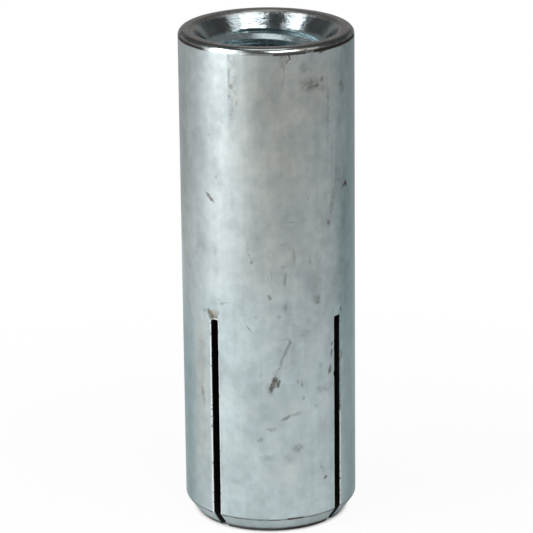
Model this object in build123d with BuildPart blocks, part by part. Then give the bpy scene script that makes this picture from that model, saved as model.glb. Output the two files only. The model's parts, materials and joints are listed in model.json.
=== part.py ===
from build123d import *
from math import atan, degrees, radians, sqrt, tan
import os

# Drop-in anchor for a 5/8 in rod: a slotted, internally threaded shell and its expander plug.
# Millimetres, +Z up. The origin is the centre of the toe, the slotted end that the anchor stands on.
# The mouth, where the rod is screwed in, faces up.

# Shell, outside
body_diameter = 21.9  # slips into a 7/8 in (22.2 mm) drilled hole
body_length = 63.5
rim_break = 0.45  # edge break round the mouth
toe_chamfer_height = 2.1
toe_chamfer_width = 1.5
toe_edge_radius = 0.3  # round between the toe chamfer and the end face

# Shell, inside, with depths measured down from the mouth
mouth_diameter = 18.0  # outer edge of the countersink
mouth_angle = 90.0  # included angle of the countersink
thread_bore_diameter = 13.5  # tapping size, and minor diameter, of the 5/8-11 thread
thread_depth = 25.4
shoulder_angle = 90.0  # included angle of the step below the thread
chamber_diameter = 13.1  # the plug waits here until it is driven
chamber_depth = 37.0
exit_diameter = 9.2  # narrow end of the expansion taper, at the toe

# Saw slots that part the lower end into fingers
slot_count = 4
slot_width = 1.1
slot_height = 29.5  # toe to the end of the saw mark on the outside
saw_diameter = 60.0
saw_standoff = 21.5  # saw centre to the outside of the body

# Expander plug
plug_clearance = 0.05  # between the plug's land and the chamber, on the radius
plug_length = 18.0
plug_land = 5.5  # parallel length at the struck end
plug_edge_break = 0.4
plug_nose_radius = 0.8
plug_headroom = 0.5  # shoulder below the thread to the struck end, before setting
seating_gap = 0.3  # left between the two tapers, along the axis, at the end of the free travel

# Worked out from the sizes above
body_radius = body_diameter / 2
mouth_radius = mouth_diameter / 2
thread_bore_radius = thread_bore_diameter / 2
chamber_radius = chamber_diameter / 2
exit_radius = exit_diameter / 2
saw_radius = saw_diameter / 2

countersink_depth = (mouth_radius - thread_bore_radius) / tan(radians(mouth_angle / 2))
shoulder_drop = (thread_bore_radius - chamber_radius) / tan(radians(shoulder_angle / 2))
thread_end = body_length - thread_depth
shoulder_foot = thread_end - shoulder_drop
taper_top = body_length - chamber_depth
taper_slope = (chamber_radius - exit_radius) / taper_top

saw_centre_radius = body_radius + saw_standoff
saw_centre_height = slot_height - sqrt(saw_radius**2 - saw_standoff**2)
saw_feed = saw_radius + max(saw_centre_height, 0)  # how far the saw is drawn out below its last centre

plug_radius = chamber_radius - plug_clearance
plug_top = shoulder_foot - plug_headroom
plug_taper_top = plug_top - plug_land
plug_nose = plug_top - plug_length
plug_nose_face = plug_radius - (plug_length - plug_land) * taper_slope
seated_taper_top = taper_top - plug_clearance / taper_slope + seating_gap
free_travel = plug_taper_top - seated_taper_top


# Saw kerf: the blade is fed up from below the toe, so it leaves a curved ramp at the slot's end
with BuildPart() as kerf:
    with BuildSketch(Plane.XZ):
        with Locations((saw_centre_radius, saw_centre_height)):
            Circle(saw_radius)
            Rectangle(saw_diameter, saw_feed, align=(Align.CENTER, Align.MAX))
    extrude(amount=slot_width / 2, both=True)


# Shell: turned outside, bored and countersunk, then sawn into fingers
with BuildPart() as shell:
    with BuildSketch(Plane.XZ):
        with BuildLine():
            Polyline(
                (0, 0),
                (body_radius - toe_chamfer_width, 0),
                (body_radius, toe_chamfer_height),
                (body_radius, body_length),
                (0, body_length),
                close=True,
            )
        make_face()
    revolve(axis=Axis.Z)

    rim_edge = shell.edges().filter_by(GeomType.CIRCLE).group_by(Axis.Z)[-1]
    chamfer(rim_edge, length=rim_break)
    toe_edge = shell.edges().filter_by(GeomType.CIRCLE).group_by(Axis.Z)[0]
    fillet(toe_edge, radius=toe_edge_radius)

    with BuildSketch(Plane.XZ):
        with BuildLine():
            Polyline(
                (0, 0),
                (exit_radius, 0),
                (chamber_radius, taper_top),
                (chamber_radius, shoulder_foot),
                (thread_bore_radius, thread_end),
                (thread_bore_radius, body_length - countersink_depth),
                (mouth_radius, body_length),
                (0, body_length),
                close=True,
            )
        make_face()
    revolve(axis=Axis.Z, mode=Mode.SUBTRACT)

    with PolarLocations(0, slot_count):
        add(kerf.part, mode=Mode.SUBTRACT)


# Expander plug: a parallel land under the struck end, then the same taper as the shell's fingers
with BuildPart() as expander_plug:
    with BuildSketch(Plane.XZ):
        with BuildLine():
            Polyline(
                (0, plug_nose),
                (plug_nose_face, plug_nose),
                (plug_radius, plug_taper_top),
                (plug_radius, plug_top),
                (0, plug_top),
                close=True,
            )
        make_face()
    revolve(axis=Axis.Z)

    struck_edge = expander_plug.edges().filter_by(GeomType.CIRCLE).group_by(Axis.Z)[-1]
    chamfer(struck_edge, length=plug_edge_break)
    nose_edge = expander_plug.edges().filter_by(GeomType.CIRCLE).group_by(Axis.Z)[0]
    fillet(nose_edge, radius=plug_nose_radius)


os.makedirs("parts", exist_ok=True)
for name, piece in (("shell", shell), ("expander_plug", expander_plug)):
    piece.part.label = name
    export_step(piece.part, f"parts/{name}.step")

print(f"taper {degrees(atan(taper_slope)):.2f} degrees a side, free travel of the plug {free_travel:.2f} mm")
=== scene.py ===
"""Looks of a drop-in anchor: its slotted, threaded shell and its expander plug, on a pale studio floor.

Metres, +Z up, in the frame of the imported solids. The anchor stands on its slotted toe with the mouth up.
"""

import json
import math
from types import SimpleNamespace

import bmesh
import bpy
import numpy as np
from mathutils import Matrix, Vector


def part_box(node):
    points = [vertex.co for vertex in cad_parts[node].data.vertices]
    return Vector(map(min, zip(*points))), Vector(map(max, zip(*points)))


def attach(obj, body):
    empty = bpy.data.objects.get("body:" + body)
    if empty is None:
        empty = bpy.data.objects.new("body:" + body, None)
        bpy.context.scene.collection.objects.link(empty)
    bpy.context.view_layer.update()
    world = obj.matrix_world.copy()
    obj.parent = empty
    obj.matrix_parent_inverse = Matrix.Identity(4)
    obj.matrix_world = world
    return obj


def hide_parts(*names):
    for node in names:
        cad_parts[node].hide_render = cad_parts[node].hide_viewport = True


bl_info = {
    "name": "Drop-in anchor",
    "version": (1, 0, 0),
    "blender": (4, 5, 0),
    "location": "3D View > Sidebar > Anchor",
    "description": "Builds a zinc-plated drop-in anchor and the studio that it stands in",
    "category": "Object",
}

MM = 0.001

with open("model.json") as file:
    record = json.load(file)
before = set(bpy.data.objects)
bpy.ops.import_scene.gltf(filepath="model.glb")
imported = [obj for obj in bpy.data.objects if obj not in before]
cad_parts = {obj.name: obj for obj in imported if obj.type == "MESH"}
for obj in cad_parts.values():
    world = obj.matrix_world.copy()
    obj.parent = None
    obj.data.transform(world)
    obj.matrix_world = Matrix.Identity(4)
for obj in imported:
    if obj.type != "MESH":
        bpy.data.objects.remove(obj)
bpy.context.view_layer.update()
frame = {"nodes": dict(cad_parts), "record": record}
shell_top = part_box("shell")[1]
mounts = {mount["name"]: mount for mount in frame["record"]["mounts"]}


def span_of(mount):
    """Lowest and highest point of a round mount that runs along Z."""
    middle = mount["pos_m"][2]
    half = mount["dims"]["length_mm"] * MM / 2
    return middle - half, middle + half


BODY_RADIUS = shell_top.x
BODY_LENGTH = shell_top.z
THREAD_BORE_RADIUS = mounts["rod_thread"]["dims"]["r_mm"] * MM
THREAD_END = span_of(mounts["rod_thread"])[0]
TOE_CHAMFER_TOP, RIM_BREAK_FOOT = span_of(mounts["body_outside"])

# Round between the outside and the rim's face, and the height in millimetres at which it begins
RIM_ROUND = 1.75 * (BODY_LENGTH - RIM_BREAK_FOOT)
RIM_FOOT = (BODY_LENGTH - RIM_ROUND) / MM

# Two rings on the rim's face, just inside that round
FACE_RINGS = (BODY_RADIUS - 1.1 * MM, BODY_RADIUS - 1.25 * MM)

# Direction, from -Y towards +X, of the side that the wear is measured from and that the studio faces
FRONT = 38.9

# Finishes, in the order of the shell's material slots
OUTSIDE, MOUTH, CUT, BORE, EDGE, UPPER = range(6)


def metres(name, default, description):
    """A length that a user may change."""
    return bpy.props.FloatProperty(
        name=name,
        description=description,
        default=default,
        min=0,
        subtype="DISTANCE",
        unit="LENGTH",
        precision=5,
    )


def degrees(name, default, description):
    """An angle that a user may change."""
    return bpy.props.FloatProperty(
        name=name, description=description, default=math.radians(default), subtype="ANGLE", unit="ROTATION"
    )


def colour(name, default, description):
    """A colour that a user may change."""
    return bpy.props.FloatVectorProperty(
        name=name, description=description, default=default, min=0, max=1, size=3, subtype="COLOR"
    )


def factor(name, default, description, highest=1.0):
    """A plain number that a user may change."""
    return bpy.props.FloatProperty(name=name, description=description, default=default, min=0, max=highest)


class AnchorSizes(bpy.types.PropertyGroup):
    """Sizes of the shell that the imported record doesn't give."""

    toe_chamfer_width: metres("Toe chamfer width", 1.5 * MM, "Radial width of the chamfer at the toe")
    toe_edge_radius: metres("Toe edge radius", 0.3 * MM, "Round between the toe chamfer and the end face")
    toe_shoulder_radius: metres("Toe shoulder radius", 0.45 * MM, "Round above the toe's chamfer")
    exit_radius: metres("Exit radius", 4.6 * MM, "Narrow end of the expansion taper")
    chamber_radius: metres("Chamber radius", 6.55 * MM, "Bore that the expander plug waits in")
    chamber_foot: metres("Chamber foot", 26.5 * MM, "Height at which the expansion taper begins")
    thread_pitch: metres("Thread pitch", 25.4 / 11 * MM, "Pitch of the rod's thread")
    thread_major_radius: metres("Thread major radius", 15.875 / 2 * MM, "Radius at the bottom of the groove")
    thread_start: factor("Thread start", 0.126, "Turn of the thread about the axis, as a share of a turn")
    countersink_foot: metres("Countersink foot", 61.38 * MM, "Height where the countersink meets the thread")
    countersink_foot_radius: metres("Countersink foot radius", 7.6 * MM, "Radius of the countersink's foot")
    countersink_slope: degrees("Countersink slope", 37, "Angle between the countersink and the axis")
    lip_round: metres("Lip round", 0.7 * MM, "Round between the countersink and the rim's face")
    slot_width: metres("Slot width", 1.14 * MM, "Width of the saw cut")
    slot_top: metres("Slot top", 29.5 * MM, "Height at which the saw cut leaves the outside")
    saw_radius: metres("Saw radius", 30.0 * MM, "Radius of the saw that cut the slots")
    saw_standoff: metres("Saw standoff", 21.5 * MM, "Saw's centre to the outside of the body")
    scoop_depth: metres("Scoop depth", 0.5 * MM, "Depth of the shallow scoop above each slot, at its lip")
    scoop_length: metres("Scoop length", 1.45 * MM, "Height of the scoop, from its lip to its upper end")
    slot_burr: metres("Slot edge", 0.125 * MM, "Width of the bright broken edge along each slot")


class ZincFinish(bpy.types.PropertyGroup):
    """Colours of the zinc plate, of the dirt on it, and of the painted light and shade on it."""

    clean: colour("Clean zinc", (0.522, 0.612, 0.630), "Zinc plate that is clean")
    upper: colour("Upper zinc", (0.552, 0.610, 0.624), "Zinc plate above the fingers, a little whiter")
    warm: colour("Warm zinc", (0.512, 0.540, 0.505), "Zinc plate that has yellowed a little")
    # Painted shade: this colour darkens the plate towards its left and right sides as the camera sees them,
    # and on the toe's chamfer.
    painted_shade: colour("Film", (0.280, 0.392, 0.410), "Zinc plate under a thin dark film")
    # Dirt colour that also serves as painted shade, in the contact shadow along the toe and the dark line
    # along the rim's foot.
    smudge_and_shade: colour("Smudge", (0.105, 0.090, 0.080), "Dirt in dents and scratches")
    # Partly plate rubbed bright and partly a painted highlight: near-white on the slots' broken edges and on
    # the left slot's lip.
    edge: colour("Worn edge", (0.94, 0.96, 0.97), "Plate rubbed bright along the slots")
    cone: colour("Countersink", (0.2747, 0.3135, 0.3300), "Machined countersink under the plate")
    # Painted light: the thread at the sides of the mouth is far lighter than the same thread across from the
    # front.
    thread: colour("Thread", (0.7175, 0.8550, 0.8900), "Thread at the sides of the mouth")
    far_thread: colour("Far thread", (0.4469, 0.5320, 0.5600), "Thread across from the front")
    rim: colour("Rim", (0.40, 0.385, 0.365), "Face of the rim, stained by oil")
    bore: colour("Bore", (0.22, 0.23, 0.23), "Steel of the bore below the thread")
    wear: colour("Wear", (0.11, 0.115, 0.09), "Bruised plate beside the scoop")
    # Painted shade: near-black for the insides of the saw cuts, and laid along the rim's foot and the toe's
    # edge.
    cut: colour("Cut", (0.004, 0.004, 0.004), "Oil and scale left in the saw cuts")
    # Painted shade: near-black for the bore between the fingers, which the slots show.
    oil: colour("Oil", (0.022, 0.021, 0.020), "Old oil in the bore, between the fingers")
    scoop: colour("Scoop", (0.50, 0.495, 0.445), "Yellowed scoop where the saw ran out, above the left slot")
    other_scoops: colour("Other scoops", (0.4131, 0.5130, 0.5310), "Plated scoops above the other slots")
    plug: colour("Plug", (0.46, 0.45, 0.43), "Turned steel of the expander plug")
    roughness: factor("Roughness", 0.37, "Roughness of the plated outside")


class StudioSetup(bpy.types.PropertyGroup):
    """Where the camera stands, and how bright the studio is."""

    azimuth: degrees("Azimuth", FRONT, "Direction that the camera stands in, from -Y towards +X")
    elevation: degrees("Elevation", 18.57, "Height of the camera above the horizon")
    roll: degrees("Roll", 0.62, "Turn of the camera about its own axis")
    distance: metres("Distance", 406.4 * MM, "Camera to the anchor's middle")
    focal_share: factor("Focal share", 6.0126, "Focal length as a share of the picture's width", 50)
    floor: colour("Floor", (0.8, 0.8, 0.8), "Pale floor under the anchor")
    white_share: factor("White share", 0.94, "How much of the floor near the anchor is seen as plain white")
    mirrored_share: factor("Mirrored share", 0.3, "How much of the floor is plain white, seen in the metal")
    horizon: factor("Horizon", 0.16, "Brightness of the room at the horizon")
    ceiling: factor("Ceiling", 0.10, "Brightness of the room overhead")


class Draft:
    """Points and faces of a mesh, gathered row by row."""

    def __init__(self):
        self.points = []
        self.faces = []
        self.finishes = []

    def row(self, points):
        """Adds points and returns their numbers."""
        first = len(self.points)
        self.points.extend(map(tuple, points))
        return np.arange(first, first + len(points))

    def move(self, number, point):
        """Moves a point that is already there, and returns its number."""
        self.points[number] = tuple(point)
        return number

    def face(self, corners, finish):
        """Adds a face, leaving out corners that coincide."""
        kept = [c for i, c in enumerate(corners) if c != corners[i - 1]]
        if len(kept) > 2:
            self.faces.append(kept)
            self.finishes.append(finish)

    def skin(self, lower, upper, finish, columns=None, closed=True):
        """Adds the faces between two rows that have the same number of points."""
        count = len(lower)
        for i in range(count if closed else count - 1):
            if columns is None or columns[i]:
                j = (i + 1) % count
                self.face([lower[i], lower[j], upper[j], upper[i]], finish)

    def halve(self, fine, coarse, finish, columns=None):
        """Adds the faces between a closed row and one with half as many points."""
        count = len(coarse)
        for i in range(count):
            if columns is None or columns[i]:
                j = (i + 1) % count
                a, b, c = fine[2 * i], fine[2 * i + 1], fine[(2 * i + 2) % len(fine)]
                self.face([coarse[i], a, b], finish)
                self.face([coarse[i], b, coarse[j]], finish)
                self.face([coarse[j], b, c], finish)

    def mesh(self, name):
        """The mesh, with unused points gone and all faces turned outwards."""
        made = bpy.data.meshes.new(name)
        made.from_pydata(self.points, [], self.faces)
        made.polygons.foreach_set("material_index", self.finishes)
        work = bmesh.new()
        work.from_mesh(made)
        loose = [v for v in work.verts if not v.link_faces]
        bmesh.ops.delete(work, geom=loose, context="VERTS")
        bmesh.ops.remove_doubles(work, verts=work.verts, dist=0.002 * MM)
        bmesh.ops.recalc_face_normals(work, faces=work.faces)
        work.to_mesh(made)
        work.free()
        return made


def rounded(corners, radii, steps):
    """An outline through corners in (radius, height), with an arc at each corner that has a radius."""
    outline = [Vector(corners[0])]
    for before, corner, after, radius in zip(corners, corners[1:], corners[2:], radii):
        corner = Vector(corner)
        into = (corner - Vector(before)).normalized()
        out = (Vector(after) - corner).normalized()
        turn = into.angle_signed(out)
        reach = radius * math.tan(abs(turn) / 2)
        start = corner - into * reach
        side = Vector((-into.y, into.x)) * math.copysign(radius, -turn)
        centre = start + side
        for step in range(steps + 1):
            arm = (start - centre).copy()
            arm.rotate(Matrix.Rotation(-turn * step / steps, 2))
            outline.append(centre + arm)
    outline.append(Vector(corners[-1]))
    return outline


def divided(start, end, spacing):
    """Evenly spaced numbers from start to end, about spacing apart, without the start."""
    count = max(1, round(abs(end - start) / spacing))
    return [start + (end - start) * i / count for i in range(1, count + 1)]


class ShellForm:
    """The shell's columns, which run beside its four slots, and the rows that they cross."""

    SLOTS = 4
    FINGER_STEPS = 76  # columns across one finger on the outside
    SLOT_STEPS = 4  # columns across one slot
    WALL_STEPS = 8  # faces across the wall, from the outside to the bore
    CHAMFER_STEPS = 5  # faces up the toe's chamfer
    FINGER_SPACING = 0.5 * MM  # between the rows along the fingers
    BODY_SPACING = 0.52 * MM  # between the rows above them
    RIM_SPACING = 0.1 * MM  # between the rows just below the rim's round
    BORE_SPACING = 1.0 * MM  # between the rows of the chamber
    CONE_SPACING = 0.22 * MM  # between the rows of the countersink
    WALL_BEND = 6  # how late the rows of a slot's wall take on the shape of its run-out
    SCOOPED = (0.12, 0.7, 0.5, 1.0)  # each slot's share of the scoop's full depth
    SCOOP_SHARES = (0, 0.2, 0.45, 0.75, 1)  # where the scoop's points lie, from its upper end to its lip
    CREST = 1 / 8  # half of the thread's flat crest, as a share of the pitch

    def __init__(self, sizes):
        self.sizes = sizes
        self.half = sizes.slot_width / 2
        self.quarter = 2 * math.pi / self.SLOTS
        self.groove = sizes.thread_major_radius - THREAD_BORE_RADIUS
        self.flank = self.groove * math.tan(math.radians(30)) / sizes.thread_pitch
        self.saw_x = BODY_RADIUS + sizes.saw_standoff
        self.saw_z = sizes.slot_top - math.sqrt(sizes.saw_radius**2 - sizes.saw_standoff**2)

    def angles(self, radius, fine=True):
        """Angles of one ring's columns, so that slot columns keep their distance from the slot's plane."""
        share = 1 if fine else 2
        across = np.arange(0, self.SLOT_STEPS, share) * 2 / self.SLOT_STEPS - 1
        along = np.arange(0, self.FINGER_STEPS, share) / self.FINGER_STEPS
        edge = math.asin(self.half / radius)
        slot_columns = np.arcsin(across * self.half / radius)
        one = np.concatenate([slot_columns, edge + along * (self.quarter - 2 * edge)])
        return np.concatenate([one + slot * self.quarter for slot in range(self.SLOTS)])

    def is_finger(self, fine=True):
        """Which columns have finger, and not slot, on their far side."""
        share = 1 if fine else 2
        one = [False] * (self.SLOT_STEPS // share) + [True] * (self.FINGER_STEPS // share)
        return one * self.SLOTS

    def column(self, slot, step, fine=True):
        """Number of the column at a step across a slot, in a fine or a coarse ring."""
        share = 1 if fine else 2
        return (slot * (self.SLOT_STEPS + self.FINGER_STEPS) + step) // share

    def ring(self, radius, height, fine=True):
        """Points of one ring. The radius and height are numbers, or arrays with a value for each column."""
        turned = self.angles(float(np.mean(radius)), fine)
        full = np.ones(len(turned))
        return np.stack([radius * np.cos(turned), radius * np.sin(turned), height * full], -1)

    def ramp_height(self, x):
        """Height of the saw's run-out at a distance x from the axis, in the slot's own plane."""
        return self.saw_z + math.sqrt(self.sizes.saw_radius**2 - (self.saw_x - x) ** 2)

    def runout(self, outer_x, inner_x, scooped):
        """Points (x, height) where a slot ends: a shallow scoop, its lip, and the saw's curve behind it."""
        top = self.ramp_height(outer_x)
        lip = top - self.sizes.scoop_length
        behind = self.saw_x - math.sqrt(self.sizes.saw_radius**2 - (lip - self.saw_z) ** 2)
        depth = scooped * self.sizes.scoop_depth
        points = [(outer_x - share * depth, top - (top - lip) * share**0.8) for share in self.SCOOP_SHARES]
        remaining = self.WALL_STEPS - len(self.SCOOP_SHARES)
        for step in range(remaining + 1):
            x = behind + (inner_x - behind) * step / remaining
            points.append((x, self.ramp_height(x) if step else lip))
        return points

    def bore_radius(self, height):
        """Radius of the expansion taper and of the chamber."""
        slope = (self.sizes.chamber_radius - self.sizes.exit_radius) / self.sizes.chamber_foot
        return self.sizes.exit_radius + slope * min(height, self.sizes.chamber_foot)

    def slot_inner_top(self, offset):
        """Height at which the saw's run-out meets the bore, at an offset from the slot's plane."""
        height = self.sizes.slot_top
        for _ in range(60):
            height = self.ramp_height(math.sqrt(self.bore_radius(height) ** 2 - offset**2))
        return height

    def thread_lead(self):
        """Angle round the axis, from +X, at which the thread's groove stays deep up to the mouth."""
        return math.radians(FRONT - 90) + math.pi

    def thread_radius(self, share, height, uneven):
        """Radius of the threaded bore at a share of the pitch, which is 0 in the middle of a crest.

        The groove gets shallower near the mouth, most of all where uneven is 1.
        """
        pitch = self.sizes.thread_pitch
        rise = np.clip((np.abs((share + 0.5) % 1 - 0.5) - self.CREST) / self.flank, 0, 1)
        start = np.clip((height - THREAD_END) / (1.2 * pitch), 0, 1)
        fade = np.clip((height - self.sizes.countersink_foot) / (1.3 * pitch) + 1, 0, 1)
        shallow = fade * (0.1 + 0.6 * uneven)
        return THREAD_BORE_RADIUS + self.groove * rise * start * start * (3 - 2 * start) * (1 - shallow)


def build_shell_mesh(sizes):
    """The shell: outside, toe, bore, thread and mouth as rows of one grid, with the slots left open."""
    form = ShellForm(sizes)
    draft = Draft()
    toe_arc, shoulder_arc = toe_outline(sizes)
    toe_rows = add_toe_face(draft, form, toe_arc[0].x)

    # Outside, from the toe's edge to the top of the slots
    slot_top = form.ramp_height(math.sqrt(BODY_RADIUS**2 - form.half**2))
    steps = form.CHAMFER_STEPS
    chamfer = [toe_arc[-1].lerp(shoulder_arc[0], i / steps) for i in range(1, steps)]
    outline = toe_arc[1:] + chamfer + shoulder_arc
    outline += [Vector((BODY_RADIUS, z)) for z in divided(outline[-1].y, slot_top, form.FINGER_SPACING)]
    outer_rows = [toe_rows[0]] + [draft.row(form.ring(point.x, point.y)) for point in outline]
    for under, over in zip(outer_rows, outer_rows[1:]):
        draft.skin(under, over, OUTSIDE, form.is_finger())

    # Bore, from the toe to the slots' inner ends
    slot_inner_top = form.slot_inner_top(form.half)
    wall_rows = len(outer_rows) - 1
    inner_rows = [toe_rows[-1]]
    for step in range(1, wall_rows + 1):
        z = slot_inner_top * step / wall_rows
        inner_rows.append(draft.row(form.ring(form.bore_radius(z), z, fine=False)))
    for under, over in zip(inner_rows, inner_rows[1:]):
        draft.skin(under, over, BORE, form.is_finger(False))

    for slot in range(form.SLOTS):
        lines = add_runout(draft, form, slot, outer_rows[-1], inner_rows[-1])
        for step in (0, form.SLOT_STEPS):
            add_slot_wall(draft, form, (slot, step), lines[step], (toe_rows, outer_rows, inner_rows))
    top_outer = add_upper_outside(draft, form, outer_rows[-1], slot_top)
    top_inner = add_upper_bore(draft, form, inner_rows[-1], slot_inner_top)
    face = draft.row(form.ring(FACE_RINGS[1], BODY_LENGTH, fine=False))
    draft.skin(top_inner, face, OUTSIDE)
    draft.halve(top_outer, face, OUTSIDE)
    return draft.mesh("shell_visual")


def toe_outline(sizes):
    """The rounds below and above the toe's chamfer, each as points in (radius, height)."""
    corners = [
        (sizes.exit_radius, 0),
        (BODY_RADIUS - sizes.toe_chamfer_width, 0),
        (BODY_RADIUS, TOE_CHAMFER_TOP),
        (BODY_RADIUS, BODY_LENGTH),
    ]
    steps = 4
    arcs = rounded(corners, [sizes.toe_edge_radius, sizes.toe_shoulder_radius], steps)[1:-1]
    return arcs[: steps + 1], arcs[steps + 1 :]


def add_toe_face(draft, form, outer_radius):
    """The flat face that the anchor stands on, in rows from its outer edge inwards."""
    outer_x = math.sqrt(outer_radius**2 - form.half**2)
    inner_x = math.sqrt(form.sizes.exit_radius**2 - form.half**2)
    rows = []
    for step in range(form.WALL_STEPS + 1):
        x = outer_x + (inner_x - outer_x) * step / form.WALL_STEPS
        rows.append(draft.row(form.ring(math.hypot(x, form.half), 0, fine=step < 2)))
    draft.skin(rows[0], rows[1], OUTSIDE, form.is_finger())
    draft.halve(rows[1], rows[2], OUTSIDE, form.is_finger(False))
    for outer, inner in zip(rows[2:], rows[3:]):
        draft.skin(outer, inner, OUTSIDE, form.is_finger(False))
    return rows


def add_runout(draft, form, slot, outer_row, inner_row):
    """The curved end of a slot, as a line of points for each column across it, from the outside inwards."""
    turn = Matrix.Rotation(slot * form.quarter, 3, "Z")
    lines = []
    for step in range(form.SLOT_STEPS + 1):
        offset = form.half * (2 * step / form.SLOT_STEPS - 1)
        outer_x = math.sqrt(BODY_RADIUS**2 - offset**2)
        inner_z = form.slot_inner_top(offset)
        inner_x = math.sqrt(form.bore_radius(inner_z) ** 2 - offset**2)
        outline = form.runout(outer_x, inner_x, form.SCOOPED[slot])
        points = [turn @ Vector((x, offset, z)) for x, z in outline]
        line = list(draft.row(points))
        line[0] = draft.move(outer_row[form.column(slot, step)], points[0])
        if step % 2 == 0:
            line[-1] = draft.move(inner_row[form.column(slot, step, fine=False)], points[-1])
        lines.append(line)
    for left, right in zip(lines, lines[1:]):
        draft.skin(left[:-1], right[:-1], CUT, closed=False)
    for left, middle, right in zip(lines[::2], lines[1::2], lines[2::2]):
        draft.face([left[-2], middle[-2], left[-1]], CUT)
        draft.face([middle[-2], right[-1], left[-1]], CUT)
        draft.face([middle[-2], right[-2], right[-1]], CUT)
    return lines


def add_slot_wall(draft, form, place, top_line, rows):
    """One flat wall of a slot, up to its run-out. The place is the slot and the step across it."""
    toe_rows, outer_rows, inner_rows = rows
    fine, coarse = form.column(*place), form.column(*place, fine=False)
    share = (np.arange(form.WALL_STEPS + 1) / form.WALL_STEPS)[:, None]
    top = np.array([draft.points[number] for number in top_line])
    bulge = top - (top[:1] + (top[-1:] - top[:1]) * share)
    below = [row[fine if depth < 2 else coarse] for depth, row in enumerate(toe_rows)]
    count = len(outer_rows) - 1
    for k in range(1, count):
        start = np.array(draft.points[outer_rows[k][fine]])
        end = np.array(draft.points[inner_rows[k][coarse]])
        line = start + (end - start) * share + bulge * (k / count) ** form.WALL_BEND
        above = [outer_rows[k][fine], *draft.row(line[1:-1]), inner_rows[k][coarse]]
        draft.skin(below, above, CUT, closed=False)
        below = above
    draft.skin(below, top_line, CUT, closed=False)


def add_upper_outside(draft, form, row, slot_top):
    """The plain outside above the slots, the broken rim edge and the outer part of the rim face."""
    corners = [(BODY_RADIUS, slot_top), (BODY_RADIUS, BODY_LENGTH), (FACE_RINGS[0], BODY_LENGTH)]
    rim = rounded(corners, [RIM_ROUND], 10)[1:]
    below_rim = rim[0].y - 0.4 * MM
    heights = divided(slot_top, below_rim, form.BODY_SPACING)
    heights += divided(below_rim, rim[0].y, form.RIM_SPACING)
    outline = [Vector((BODY_RADIUS, z)) for z in heights] + rim[1:]
    for point in outline:
        above = draft.row(form.ring(point.x, point.y))
        draft.skin(row, above, OUTSIDE)
        row = above
    return row


def add_upper_bore(draft, form, row, slot_inner_top):
    """The bore above the slots: taper, chamber, shoulder, thread and countersink."""
    sizes = form.sizes
    shoulder_foot = THREAD_END - (THREAD_BORE_RADIUS - sizes.chamber_radius)
    heights = divided(slot_inner_top, sizes.chamber_foot, form.BORE_SPACING)
    heights += divided(sizes.chamber_foot, shoulder_foot, form.BORE_SPACING)
    outline = [(form.bore_radius(z), z) for z in heights] + [(THREAD_BORE_RADIUS, THREAD_END)]
    for radius, height in outline:
        above = draft.row(form.ring(radius, height, fine=False))
        draft.skin(row, above, BORE)
        row = above
    row = add_thread(draft, form, row)
    lip = mouth_outline(sizes)[1:]
    heights = divided(thread_top(sizes), lip[0].y, form.CONE_SPACING)
    outline = [(float(opening_radius(sizes, z)), z) for z in heights] + lip[1:]
    for radius, height in outline:
        above = draft.row(form.ring(radius, height, fine=False))
        draft.skin(row, above, MOUTH)
        row = above
    return row


def mouth_outline(sizes):
    """The countersink from its foot to the flat rim, in (radius, height), with a rounded edge."""
    height = BODY_LENGTH - sizes.countersink_foot
    lip_radius = sizes.countersink_foot_radius + height * math.tan(sizes.countersink_slope)
    corners = [
        (sizes.countersink_foot_radius, sizes.countersink_foot),
        (lip_radius, BODY_LENGTH),
        (BODY_RADIUS, BODY_LENGTH),
    ]
    return rounded(corners, [sizes.lip_round], 6)[:-1]


def opening_radius(sizes, height):
    """Radius that the countersink, and the lead-in below it, clear at a height."""
    lead_in = [(THREAD_BORE_RADIUS, sizes.countersink_foot - 0.75 * MM)]
    outline = lead_in + [tuple(point) for point in mouth_outline(sizes)]
    return np.interp(height, [z for _, z in outline], [r for r, _ in outline])


def thread_top(sizes):
    """Height just above where the thread's groove runs out in the countersink."""
    beyond = sizes.thread_major_radius - sizes.countersink_foot_radius
    return sizes.countersink_foot + beyond / math.tan(sizes.countersink_slope) + 0.15 * MM


def thread_grid(form, low, high):
    """The thread's radii and heights, in rows that climb with it, and the number of rows in one turn.

    Where the thread cuts the countersink, the nearest point moves to where they meet.
    """
    sizes = form.sizes
    pitch = sizes.thread_pitch
    crest, root = form.CREST, form.CREST + form.flank
    up = np.concatenate([[-crest / 2, crest / 2], np.linspace(crest, root, 6), [0.5]])
    shares = np.concatenate([up, 1 - np.linspace(crest, root, 6)[::-1]])
    turned = form.angles(THREAD_BORE_RADIUS, fine=False)
    turns = math.ceil((high - low) / pitch) + 2
    base = low - pitch * (2 - sizes.thread_start)
    climb = np.add.outer(np.arange(turns + 1), shares).ravel()[:, None]
    heights = base + pitch * (climb + turned / (2 * math.pi))
    steps = np.tile(shares, turns + 1)[:, None] * np.ones(len(turned))
    away = np.abs((turned - form.thread_lead() + math.pi) % (2 * math.pi) - math.pi)
    uneven = np.clip(away / math.radians(55) - 0.25, 0, 1)
    radii = form.thread_radius(steps, heights, uneven)
    ahead = radii - opening_radius(sizes, heights)
    for column in range(len(turned)):
        for j in np.nonzero(ahead[:-1, column] * ahead[1:, column] < 0)[0]:
            part = ahead[j, column] / (ahead[j, column] - ahead[j + 1, column])
            crossing = heights[j, column] + part * (heights[j + 1, column] - heights[j, column])
            near = j if part < 0.5 else j + 1
            heights[near, column] = crossing
            radii[near, column] = opening_radius(sizes, crossing)
    return np.maximum(radii, opening_radius(sizes, heights)), heights, len(shares)


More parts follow.
